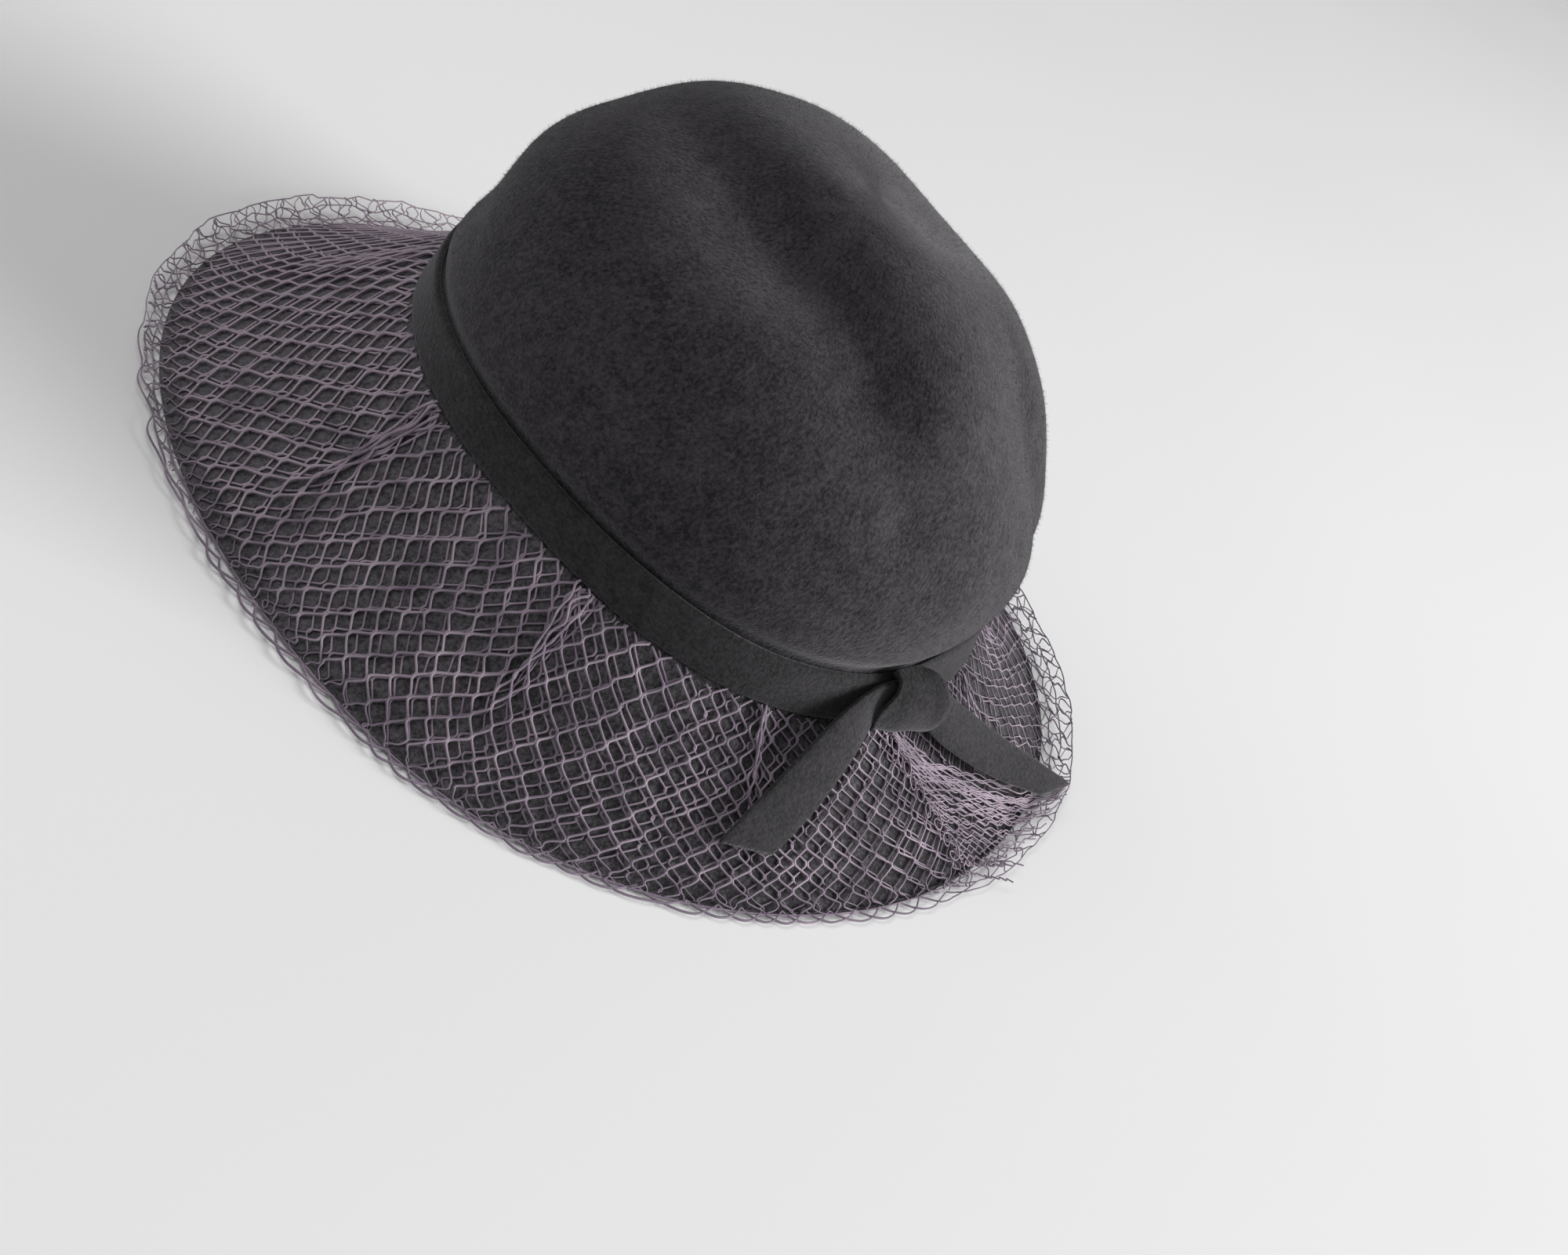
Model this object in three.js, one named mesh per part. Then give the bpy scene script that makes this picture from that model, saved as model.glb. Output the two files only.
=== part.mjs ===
// A cocktail hat: a dented felt crown, a felt brim that slopes down all round, a felt band tied
// behind with two tails, and a veil of coarse net laid over the brim.
//
// Millimetres, +Z up. The rim rests on Z = 0, the front is -Y and the wearer's left is +X.
// A heading goes round the hat in degrees: 0 front, 90 wearer's left, 180 back, 270 right.
import * as THREE from 'three';

// Cloth and clearance
const FELT = 2; // crown and brim
const STRIP_FELT = 2; // band, knot and tails
const NET_THICKNESS = 1.3; // measured upwards, 1 mm across the slope
const GAP = 0.3; // between pieces that touch

// Rim: two half ellipses that meet where the brim is widest
const RIM_HALF_WIDTH = 147.4;
const RIM_FRONT = 196;
const RIM_BACK = 129.2;
const RIM_WIDEST_Y = (RIM_FRONT - RIM_BACK) / 2; // puts the origin under the rim's middle
const RIM_FLAT = 1.6 * FELT; // width of the edge that lies on the floor

// Brim
const BRIM_SAG = 3; // hollow of the slope between band and rim
const BRIM_UNDER_DROP = 0.45 * FELT; // how far the underside's bend lies below the top's

// Head oval at the band's top edge, squarer than an ellipse
const HEAD_HALF_WIDTH = 88.3;
const HEAD_HALF_LENGTH = 99.4;
const HEAD_SQUARENESS = 2.35;
const HEAD_Y = 17.7;

// Band, with its heights over the head's middle
const BAND_TOP = 61.1;
const BAND_BOTTOM = 46;
const BAND_FLARE = 2.7; // how much wider its lower edge is, all round
const BACK_DROP = 0.119; // fall for each millimetre towards the back
const SEAM_UP = 0.5; // where crown and brim meet behind the band, as a share of its height

// Crown
const CROWN_HEIGHT = 91; // above the band's top edge
const CROWN_ROUNDNESS = 2.26;
const CROWN_LEAN = 0.045; // shift to the back for each millimetre of height
const FOOT_PINCH_RISE = 4; // how high the band's pinch reaches
const CORE_RISE = 20; // dents press towards a point this far above the band

// Swellings and flats of the crown's wall, by heading and by rise above the band
const SWELLS = [
  { heading: 190, spread: 38, rise: 33, tall: 18, out: 4.3 },
  { heading: 180, spread: 60, rise: 18, tall: 16, out: 1.5 },
  { heading: 352, spread: 40, rise: 24, tall: 16, out: -7.5 },
];

// The long crease, from the front over the left of the top and down the back
const CREASE = {
  depth: 17,
  shallowest: 0.4, // share of the depth that is left at its ends
  frontX: 1,
  backX: 42,
  bendY: 10, // where its line reaches backX
  startY: -110,
  fullY: 8,
  middleY: 26,
  halfLength: 46,
  leftHalfWidth: 26,
  rightHalfWidth: 19.5,
  endZ: 61,
  fullZ: 140,
};

// Upright folds at the back, a broad one and a narrow one beside it
const BACK_FOLDS = [
  { heading: 197, half: 16, depth: 6.5, startRise: 12, fullRise: 53, easeRise: 63, endRise: 88 },
  { heading: 205, half: 6, depth: 2.6, startRise: 12, fullRise: 25, easeRise: 50, endRise: 87 },
];

// Round dents of the top and the back, and a bump where the depth is negative
const DIMPLES = [
  { x: -28, y: 32, z: 143, reach: 25, depth: 6 },
  { x: 30, y: 89, z: 119, reach: 16, depth: -3.5 },
  { x: 43, y: 76, z: 124, reach: 15, depth: 3.5 },
  { x: 43, y: 100, z: 95, reach: 8, depth: 2.4 },
];

// The tied bow, from the middle of the band's face at its heading. The strap's right edge curls
// away from the band and its left edge is tucked in.
const KNOT_HEADING = 167.2;
const KNOT_PATH = [
  { left: -1.6, out: 2.2, up: -6.4, width: 17, curl: 0.2, tuck: 0.3 },
  { left: -1, out: 5.6, up: -7.4, width: 20.5, curl: 0.8, tuck: 1.5 },
  { left: -0.6, out: 9, up: -5, width: 23, curl: 1.8, tuck: 3.4 },
  { left: -0.6, out: 9.9, up: 0.6, width: 22.6, curl: 2.8, tuck: 4.4 },
  { left: -0.8, out: 8.8, up: 6.2, width: 20, curl: 2.9, tuck: 3.6 },
  { left: -1, out: 5.3, up: 10.2, width: 16, curl: 1.8, tuck: 1.6 },
  { left: -0.6, out: 1.4, up: 10.8, width: 12.6, curl: 0.5, tuck: 0.4 },
  { left: -0.2, out: -0.6, up: 10.4, width: 12, curl: 0, tuck: 0 },
];
// lean turns the strip's face from straight out (0) towards straight up (90)
const LEFT_TAIL = [
  { left: -5, out: 1.5, up: 1, width: 10.6, lean: 10 },
  { left: 9, out: 2.2, up: 1.2, width: 12.6, lean: 12 },
  { left: 23, out: 7.2, up: -5, width: 14.6, lean: 36 },
  { left: 39, out: 12.9, up: -16.5, width: 15.6, lean: 50 },
  { left: 60, out: 19.2, up: -28.6, width: 15.2, lean: 52 },
];
const RIGHT_TAIL = [
  { left: 3, out: 4.2, up: 1.8, width: 10, lean: 8 },
  { left: -9, out: 4.6, up: 1.6, width: 10.8, lean: 9 },
  { left: -27, out: 10.4, up: -8.6, width: 14, lean: 34 },
  { left: -50, out: 18.2, up: -18.8, width: 13.4, lean: 45 },
  { left: -79, out: 30, up: -28.2, width: 11.5, lean: 50 },
];
const TAIL_SLANT = 11; // the upper edge is cut longer than the lower one
const TAIL_CUP = 0.7; // how far the edges bend towards the brim
const TAIL_CUP_START = 0.15; // shares of the length where the bend starts and is full
const TAIL_CUP_FULL = 0.5;

// Net veil: diamonds in rows from the band to past the rim
const NET_HOLE = 0.76; // size of a gap in its diamond
const NET_ROWS = [
  { reach: 0.07, past: 0, lift: 0.7, gather: 0 },
  { reach: 0.37, past: 0, lift: 0.9, gather: 1 },
  { reach: 0.66, past: 0, lift: 1, gather: 1 },
  { reach: 0.93, past: 0, lift: 1.5, gather: 0.5 },
  { reach: 1, past: 8, lift: 0.6, gather: 0 },
];
// Pleats where the net is bunched under the band
const GATHERS = [
  { heading: 20, half: 7, rise: 1.5 },
  { heading: 68, half: 6, rise: 2.5 },
  { heading: 103, half: 6, rise: 2.5 },
  { heading: 174, half: 6, rise: 3 },
  { heading: 198, half: 6, rise: 2 },
  { heading: 228, half: 6, rise: 2 },
  { heading: 262, half: 7, rise: 2.5 },
  { heading: 318, half: 7, rise: 2 },
];

// Fineness of the facets
const AROUND = 80;
const CROWN_CLIMBS = [0, 1.5, 5, 10, 18, 26, 34, 42, 50, 58, 66, 74, 82];
const BRIM_REACHES = [0, 0.25, 0.5, 0.75, 1];
const TAIL_STEPS = 12;
const KNOT_STEPS = 14;

const STEP = 360 / AROUND;
const HEADINGS = Array.from({ length: AROUND }, (_, i) => i * STEP);
const BAND_HEIGHT = BAND_TOP - BAND_BOTTOM;

const { degToRad, euclideanModulo, lerp, smoothstep } = THREE.MathUtils;
const bell = (offset, half) => Math.exp(-((offset / half) ** 2));
const turnBetween = (a, b) => euclideanModulo(a - b + 180, 360) - 180;
const signedPower = (value, power) => Math.sign(value) * Math.abs(value) ** power;

// A point of the head oval, grown all round and then shrunk to a level of the crown.
function headOval(heading, grow, level = 1) {
  const turn = degToRad(heading);
  const power = 2 / HEAD_SQUARENESS;
  const x = (HEAD_HALF_WIDTH + grow) * level * signedPower(Math.sin(turn), power);
  const y = HEAD_Y - (HEAD_HALF_LENGTH + grow) * level * signedPower(Math.cos(turn), power);
  return new THREE.Vector3(x, y, 0);
}

// A point of the rim, grown all round.
function rimOval(heading, grow) {
  const turn = degToRad(heading);
  const length = Math.cos(turn) > 0 ? RIM_FRONT : RIM_BACK;
  const x = (RIM_HALF_WIDTH + grow) * Math.sin(turn);
  const y = RIM_WIDEST_Y - (length + grow) * Math.cos(turn);
  return new THREE.Vector3(x, y, 0);
}

// Height of the band's sloping levels at a place along Y.
const bandLevel = (y, height) => height - BACK_DROP * (y - HEAD_Y);

// A point of the band's face: up runs from its lower edge (0) to its top edge (1).
function bandFace(heading, up, inset) {
  const point = headOval(heading, BAND_FLARE * (1 - up) - inset);
  return point.setZ(bandLevel(point.y, lerp(BAND_BOTTOM, BAND_TOP, up)));
}

// The felt wall behind the band.
const wallAt = (heading, up, inset) => bandFace(heading, up, STRIP_FELT + GAP + inset);

// How deep the crown is pressed in at a point of its round form.
function dentDepth(point, heading, rise) {
  const line = lerp(CREASE.frontX, CREASE.backX, smoothstep(point.y, CREASE.startY, CREASE.bendY));
  const offset = point.x - line;
  const across = bell(offset, offset > 0 ? CREASE.leftHalfWidth : CREASE.rightHalfWidth);
  const along = lerp(CREASE.shallowest, 1, bell(point.y - CREASE.middleY, CREASE.halfLength));
  const frontEnd = smoothstep(point.y, CREASE.startY, CREASE.fullY);
  const backEnd = smoothstep(point.z, CREASE.endZ, CREASE.fullZ);
  const crease = CREASE.depth * across * along * frontEnd * backEnd;

  const folds = BACK_FOLDS.reduce((sum, fold) => {
    const upright = smoothstep(rise, fold.startRise, fold.fullRise)
      * (1 - smoothstep(rise, fold.easeRise, fold.endRise));
    return sum + fold.depth * bell(turnBetween(heading, fold.heading), fold.half) * upright;
  }, 0);
  const dimples = DIMPLES.reduce((sum, { x, y, z, reach, depth }) => (
    sum + depth * bell(point.distanceTo(new THREE.Vector3(x, y, z)), reach)
  ), 0);
  return crease + folds + dimples;
}

// A point of the crown above the band. climb goes from the band (0) to the top (90), and inset
// is how far inside the outer face it lies.
function crownAt(heading, climb, inset) {
  const level = Math.cos(degToRad(climb)) ** (2 / CROWN_ROUNDNESS);
  const share = Math.sin(degToRad(climb)) ** (2 / CROWN_ROUNDNESS);
  const rise = (CROWN_HEIGHT - inset) * share;
  const pinch = bell(rise, FOOT_PINCH_RISE);
  const swelling = SWELLS.reduce((sum, { heading: middle, spread, rise: height, tall, out }) => (
    sum + out * bell(turnBetween(heading, middle), spread) * bell(rise - height, tall)
  ), 0);
  const grow = lerp(swelling, -(STRIP_FELT + GAP), pinch);
  const point = headOval(heading, grow - inset, level);
  point.y += CROWN_LEAN * rise;
  point.z = bandLevel(point.y, BAND_TOP) + rise;

  const core = new THREE.Vector3(0, HEAD_Y, BAND_TOP + CORE_RISE);
  const inward = core.sub(point).normalize();
  return point.addScaledVector(inward, dentDepth(point, heading, rise));
}

// A point of the brim: reach goes from its bend at the band (0) to the rim (1), on the top
// (inset 0) or on the underside (inset FELT).
function brimAt(heading, reach, inset) {
  const bend = wallAt(heading, 0, inset);
  bend.z -= GAP + BRIM_UNDER_DROP * (inset / FELT);
  const rim = rimOval(heading, -RIM_FLAT * (inset / FELT));
  const point = bend.lerp(rim, reach);
  point.z -= BRIM_SAG * 4 * reach * (1 - reach);
  return point;
}

// A geometry with its faces turned outwards, from points and triangles.
function solid(points, triangles) {
  const corner = (triangle, i) => points[triangle[i]];
  const volume = triangles.reduce((sum, t) => {
    const normal = new THREE.Vector3().crossVectors(corner(t, 1), corner(t, 2));
    return sum + corner(t, 0).dot(normal);
  }, 0);
  const outward = volume > 0 ? triangles : triangles.map(([a, b, c]) => [a, c, b]);
  const geometry = new THREE.BufferGeometry().setFromPoints(points);
  geometry.setIndex(outward.flat());
  geometry.computeVertexNormals();
  return geometry;
}

// A closed skin through rings of equal count. The last ring joins the first, unless a pole
// closes each end.
function skin(rings, poles = []) {
  const count = rings[0].length;
  const points = rings.flat();
  const triangles = [];
  const joins = poles.length ? rings.length - 1 : rings.length;
  for (let r = 0; r < joins; r += 1) {
    const low = r * count;
    const high = ((r + 1) % rings.length) * count;
    for (let i = 0; i < count; i += 1) {
      const next = (i + 1) % count;
      triangles.push([low + i, low + next, high + next], [low + i, high + next, high + i]);
    }
  }
  poles.forEach((pole, end) => {
    const ring = end === 0 ? 0 : (rings.length - 1) * count;
    const tip = points.push(pole) - 1;
    for (let i = 0; i < count; i += 1) {
      const pair = [ring + i, ring + ((i + 1) % count)];
      triangles.push(end === 0 ? [tip, pair[1], pair[0]] : [tip, pair[0], pair[1]]);
    }
  });
  return solid(points, triangles);
}

const ringOf = (pointAt) => HEADINGS.map(pointAt);

// The crown is one wall from the outer top, down to the seam and up to the inner top.
function crownGeometry() {
  const wall = (inset) => [
    ringOf((heading) => wallAt(heading, SEAM_UP, inset)),
    ...CROWN_CLIMBS.map((climb) => ringOf((heading) => crownAt(heading, climb, inset))),
  ];
  const top = (inset) => crownAt(0, 90, inset);
  return skin([...wall(0).reverse(), ...wall(FELT)], [top(0), top(FELT)]);
}

// The brim stands up behind the band to the seam.
function brimGeometry() {
  const seam = SEAM_UP - GAP / BAND_HEIGHT;
  const wall = (inset) => [
    ringOf((heading) => wallAt(heading, seam, inset)),
    ...BRIM_REACHES.map((reach) => ringOf((heading) => brimAt(heading, reach, inset))),
  ];
  return skin([...wall(0), ...wall(FELT).reverse()]);
}

// The band's section, with its lip rounded.
function bandGeometry() {
  const section = [
    { up: 0, inset: 0.2 },
    { up: 0.05, inset: 0 },
    { up: 0.93, inset: 0 },
    { up: 1, inset: 0.35 },
    { up: 1, inset: 1 },
    { up: 0, inset: 1 },
  ];
  const ringAt = ({ up, inset }) => ringOf((heading) => bandFace(heading, up, inset * STRIP_FELT));
  return skin(section.map(ringAt));
}

// A felt strip with softened edges through stations. A station has a centre, the directions along,
// across and square to the strip, a width, a slant that shears its end, and a bend, which gives how
// far the strip lies off its flat form from one edge (-1) to the other (1).
function stripGeometry(stations) {
  const thick = STRIP_FELT / 2;
  const soft = thick / 2;
  const rings = stations.map(({ centre, along, across, facing, width, slant, bend }) => {
    const half = width / 2;
    const corners = [
      [half, -soft], [half, soft], [half - soft, thick], [0, thick], [soft - half, thick],
      [-half, soft], [-half, -soft], [soft - half, -thick], [0, -thick], [half - soft, -thick],
    ];
    return corners.map(([side, face]) => centre.clone()
      .addScaledVector(across, side)
      .addScaledVector(facing, face + bend(side / half))
      .addScaledVector(along, slant * (side / width)));
  });
  const middle = (ring) => {
    const total = ring.reduce((sum, point) => sum.add(point), new THREE.Vector3());
    return total.divideScalar(ring.length);
  };
  return skin(rings, [middle(rings[0]), middle(rings.at(-1))]);
}

// A curve through rows in the bow's own axes: x left, y out of the band and z up.
function bowCurve(rows) {
  const places = rows.map(({ left, out, up }) => new THREE.Vector3(left, out, up));
  return new THREE.CatmullRomCurve3(places, false, 'catmullrom');
}

// A column of rows at a share of the way through them.
function between(rows, key, share) {
  const place = share * (rows.length - 1);
  const row = Math.min(Math.floor(place), rows.length - 2);
  return lerp(rows[row][key], rows[row + 1][key], place - row);
}

const stationsOf = (steps, stationAt) => (
  Array.from({ length: steps + 1 }, (_, i) => stationAt(i / steps))
);

// The knot's strap bends over the tails in upright planes.
function knotGeometry() {
  const path = bowCurve(KNOT_PATH);
  const across = new THREE.Vector3(-1, 0, 0);
  return stripGeometry(stationsOf(KNOT_STEPS, (share) => {
    const along = path.getTangent(share).setX(0).normalize();
    const facing = new THREE.Vector3().crossVectors(across, along);
    const [width, curl, tuck] = ['width', 'curl', 'tuck'].map((key) => between(KNOT_PATH, key, share));
    const bend = (side) => curl * smoothstep(side, 0, 1) - tuck * smoothstep(-side, 0, 1);
    return { centre: path.getPoint(share), along, across, facing, width, slant: 0, bend };
  }));
}

// A tail follows its rows, turning its face from the band's side to lie along the brim.
function tailGeometry(rows) {
  const path = bowCurve(rows);
  return stripGeometry(stationsOf(TAIL_STEPS, (share) => {
    const along = path.getTangent(share);
    const lean = degToRad(between(rows, 'lean', share));
    const face = new THREE.Vector3(0, Math.cos(lean), Math.sin(lean));
    const across = new THREE.Vector3().crossVectors(along, face).normalize();
    if (across.z < 0) across.negate();
    const facing = new THREE.Vector3().crossVectors(across, along);
    if (facing.dot(face) < 0) facing.negate();
    const cup = TAIL_CUP * smoothstep(share, TAIL_CUP_START, TAIL_CUP_FULL);
    const bend = (side) => -cup * side ** 2;
    const width = between(rows, 'width', share);
    const slant = share === 1 ? TAIL_SLANT : 0;
    return { centre: path.getPoint(share), along, across, facing, width, slant, bend };
  }));
}

// A point of the net's underside at a row, with the pleats' rise.
function netAt(heading, row) {
  const { reach, past, lift, gather } = NET_ROWS[row];
  const point = past > 0 ? rimOval(heading, past) : brimAt(heading, reach, 0);
  const pleat = GATHERS.reduce((sum, { heading: middle, half, rise }) => (
    sum + rise * bell(turnBetween(heading, middle), half)
  ), 0);
  point.z += lift + gather * pleat;
  return point;
}

// A thin solid: the underside's points and triangles, the same again one thickness higher, and
// a wall along every edge that only one triangle has.
function thicken(points, triangles, thickness) {
  const top = points.map((point) => point.clone().setZ(point.z + thickness));
  const shift = points.length;
  const edges = new Map();
  const faces = [];
  for (const [a, b, c] of triangles) {
    faces.push([a, c, b], [a + shift, b + shift, c + shift]);
    for (const [from, to] of [[a, b], [b, c], [c, a]]) {
      if (!edges.delete(`${to} ${from}`)) edges.set(`${from} ${to}`, [from, to]);
    }
  }
  for (const [from, to] of edges.values()) {
    faces.push([from, to, to + shift], [from, to + shift, from + shift]);
  }
  return solid([...points, ...top], faces);
}

// The veil is a lattice of diamonds round the brim. Each diamond has its corners on the rows and
// half steps about its middle, and a gap cut through it. A closed hem joins them at the band.
function netGeometry() {
  const points = [];
  const triangles = [];
  const known = new Map();
  const corner = (row, step) => {
    const place = euclideanModulo(step, AROUND);
    const key = `${row} ${place}`;
    if (!known.has(key)) known.set(key, points.push(netAt(place * STEP, row)) - 1);
    return known.get(key);
  };
  for (let row = 1; row < NET_ROWS.length - 1; row += 1) {
    for (let step = row % 2 === 1 ? 0 : 1; step < AROUND; step += 2) {
      const outer = [
        corner(row - 1, step),
        corner(row, step + 1),
        corner(row + 1, step),
        corner(row, step - 1),
      ];
      const middle = netAt(step * STEP, row);
      const gap = outer.map((i) => points.push(middle.clone().lerp(points[i], NET_HOLE)) - 1);
      for (let side = 0; side < 4; side += 1) {
        const next = (side + 1) % 4;
        triangles.push([outer[side], outer[next], gap[next]], [outer[side], gap[next], gap[side]]);
      }
    }
  }
  for (let step = 1; step < AROUND; step += 2) {
    const [before, at, after] = [step - 1, step, step + 1].map((place) => corner(0, place));
    const tip = corner(1, step);
    triangles.push([before, at, tip], [at, after, tip]);
  }
  return thicken(points, triangles, NET_THICKNESS);
}

const felt = (color) => new THREE.MeshStandardMaterial({ color, roughness: 0.95, metalness: 0 });
const CHARCOAL_FELT = '#4a4a4b';
const STRIP_CHARCOAL = '#464647';
const MAUVE_NET = '#8f8093';

function piece(name, geometry, material) {
  const mesh = new THREE.Mesh(geometry, material);
  mesh.name = name;
  return mesh;
}

// The bow's own frame sits on the band's face, turned to look straight out of it.
function bowGroup() {
  const bow = new THREE.Group();
  const ahead = headOval(KNOT_HEADING - STEP / 2, 0);
  const behind = headOval(KNOT_HEADING + STEP / 2, 0);
  bow.position.copy(bandFace(KNOT_HEADING, 0.5, 0));
  bow.rotation.z = Math.atan2(ahead.y - behind.y, ahead.x - behind.x);
  bow.add(
    piece('bow_knot', knotGeometry(), felt(STRIP_CHARCOAL)),
    piece('bow_tail_left', tailGeometry(LEFT_TAIL), felt(STRIP_CHARCOAL)),
    piece('bow_tail_right', tailGeometry(RIGHT_TAIL), felt(STRIP_CHARCOAL)),
  );
  return bow;
}

const hat = new THREE.Group();
hat.add(
  piece('crown', crownGeometry(), felt(CHARCOAL_FELT)),
  piece('brim', brimGeometry(), felt(CHARCOAL_FELT)),
  piece('band', bandGeometry(), felt(STRIP_CHARCOAL)),
  bowGroup(),
  piece('net_veil', netGeometry(), felt(MAUVE_NET)),
);

export default hat;
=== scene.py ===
"""A cocktail hat: a creased felt crown, a felt brim, a tied felt band and a net veil folded double.

The tables and functions are in millimetres and the meshes in metres. +Z is up, the front is -Y
and the wearer's left is +X. A heading goes round the hat in degrees: 0 front, 90 left, 180 back.
"""

import bmesh
import bpy
import numpy as np
from mathutils import Matrix, Vector


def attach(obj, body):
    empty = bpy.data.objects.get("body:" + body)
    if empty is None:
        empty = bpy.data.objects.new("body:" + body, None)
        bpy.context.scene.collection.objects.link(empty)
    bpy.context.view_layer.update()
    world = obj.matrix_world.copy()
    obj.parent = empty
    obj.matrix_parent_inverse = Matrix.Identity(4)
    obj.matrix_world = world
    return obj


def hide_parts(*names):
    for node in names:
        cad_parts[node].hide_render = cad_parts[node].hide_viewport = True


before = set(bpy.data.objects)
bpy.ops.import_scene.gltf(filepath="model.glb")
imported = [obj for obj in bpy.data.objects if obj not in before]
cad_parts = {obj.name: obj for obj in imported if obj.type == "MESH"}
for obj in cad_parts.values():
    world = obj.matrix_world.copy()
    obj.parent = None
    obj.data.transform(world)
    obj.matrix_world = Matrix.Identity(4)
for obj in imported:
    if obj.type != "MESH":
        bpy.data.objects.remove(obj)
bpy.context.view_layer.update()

MM = 0.001


def make_table(columns, *rows):
    """Rows of values under named columns, each row as a dictionary."""
    return [dict(zip(columns.split(), row, strict=True)) for row in rows]


# Cloth and clearance
FELT = 2.0
STRIP_FELT = 2.0
NAP_STRETCH = 1.4  # length of the nap's streaks against their width
GAP = 0.3  # between pieces that touch
WELD_DISTANCE = 0.001  # closer points are joined
RING_STEP = 1.0  # degrees between the columns of brim and band
# Waves that make the cloth uneven. The seed is added to the layer's own, and stretch is how much
# longer they are along the net's threads.
WAVES = {row["kind"]: row for row in make_table(
    "kind lengths size seed stretch",
    ("crown", (26, 34, 47, 60), 0.5, 11, 1),
    ("fold", (17, 26, 41), 1.0, 12, 1),
    ("lip_off", (31, 47, 66), 0.3, 13, 1),
    ("lip_up", (37, 58, 83), 0.35, 14, 1),
    ("packed", (7, 11, 17), 0.35, 72, 1),
    ("loops", (23, 37, 61), 1.2, 82, 1),
    ("cells", (31, 47, 71), 0.2, 32, 2),
    ("drift", (38, 55, 90), 1.1, 33, 3),
    ("layer_cells", (19, 27), 0.1, 1, 2),
    ("apart", (26, 41), 0.5, 2, 2),
    ("tremble", (4.5, 7, 11), 0.14, 3, 2.4),
    ("high_ripples", (9, 14, 23), 0.35, 4, 2.5),
    ("low_ripples", (9, 14, 23), 0.1, 4, 2.5),
    ("free", (2.3, 3.1, 4.3), 0.4, 5, 1),
)}

# Rim: two half ellipses that meet where the brim is widest
RIM_HALF_WIDTH = 147.4
RIM_FRONT = 196.0
RIM_BACK = 129.2
RIM_WIDEST_Y = (RIM_FRONT - RIM_BACK) / 2
RIM_FLAT = 1.6 * FELT  # width of the edge that lies on the floor
RIM_ROUND = 0.8  # radius of its outer edge
RIM_ANGLES = np.linspace(60, -90, 7)  # from the top skin down to the floor

# Brim
BRIM_SAG = 3.0  # hollow of the slope between band and rim
BRIM_UNDER_DROP = 0.45 * FELT  # how far the underside's bend lies below the top's
BRIM_ROWS = 40
BRIM_NAP = dict(twist=0.1, radius=120.0)

# Head oval at the band's top edge
HEAD_HALF_WIDTH = 88.3
HEAD_HALF_LENGTH = 99.4
HEAD_SQUARENESS = 2.35
HEAD_Y = 17.7

# Band
BAND_TOP = 61.1
BAND_BOTTOM = 46.0
BAND_FLARE = 2.7  # how much wider its lower edge is, all round
BACK_DROP = 0.119  # fall for each millimetre towards the back
BAND_NAP = dict(twist=0.0, radius=90.0)
LIP_START = 0.4  # share of its height where it leaves the crown
LIP_OFF = 0.35
# Its section: shares of its height and of its felt, round the outside and back inside
BAND_SECTION = make_table(
    "up inset",
    (0.0, 1.0), (0.0, 0.6), (0.01, 0.25), (0.05, 0.05), (0.12, 0.0),
    (0.3, 0.0), (0.5, 0.0), (0.7, 0.0), (0.88, 0.0), (0.95, 0.05),
    (0.985, 0.25), (1.0, 0.55), (0.99, 0.85), (0.95, 1.0), (0.5, 1.0),
)
# The felt wall behind it, in shares of its height: where crown and brim meet, and its other ends
SEAM_UP = 0.5
WALL_TOP = 0.95
WALL_FOOT = 0.05
WALL_ROWS = 4

# Crown
CROWN_HEIGHT = 91.0  # above the band's top edge
CROWN_ROUNDNESS = 2.26
CROWN_LEAN = 0.045  # shift to the back for each millimetre of height
FOOT_PINCH_RISE = 4.0  # how high the band's pinch reaches
CORE_RISE = 20.0  # dents press towards a point this far above the band
CROWN_STEP = 1.25  # degrees between its columns
CROWN_CLIMBS = np.concatenate([np.linspace(90, 8, 78), np.linspace(7, 0, 15)])  # degrees of its rows
CROWN_CALM = (4, 14)  # climbs over which its unevenness comes in
CROWN_NAP = dict(twist=0.25, radius=90.0)
# Swellings and flats of the crown's wall, by heading and by rise above the band
SWELLS = make_table(
    "heading spread rise tall out",
    (190, 38, 33, 18, 4.3),
    (180, 60, 18, 16, 1.5),
    (352, 40, 24, 16, -7.5),
)
# The long crease, from the front over the left of the top and down the back
CREASE = dict(
    depth=17, shallowest=0.4, front_x=1, back_x=42, bend_y=10, start_y=-110, full_y=8,
    middle_y=26, half_length=46, left_half=26, right_half=19.5, end_z=61, full_z=140,
)
# Upright folds at the back
BACK_FOLDS = make_table(
    "heading half depth start_rise full_rise ease_rise end_rise",
    (197, 16, 6.5, 12, 53, 63, 88),
    (205, 6, 2.6, 12, 25, 50, 87),
)
# Round dents, and a bump where the depth is negative
DIMPLES = make_table(
    "x y z reach depth",
    (-28, 32, 143, 25, 6),
    (30, 89, 119, 16, -3.5),
    (43, 76, 124, 15, 3.5),
    (43, 100, 95, 8, 2.4),
)

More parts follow.
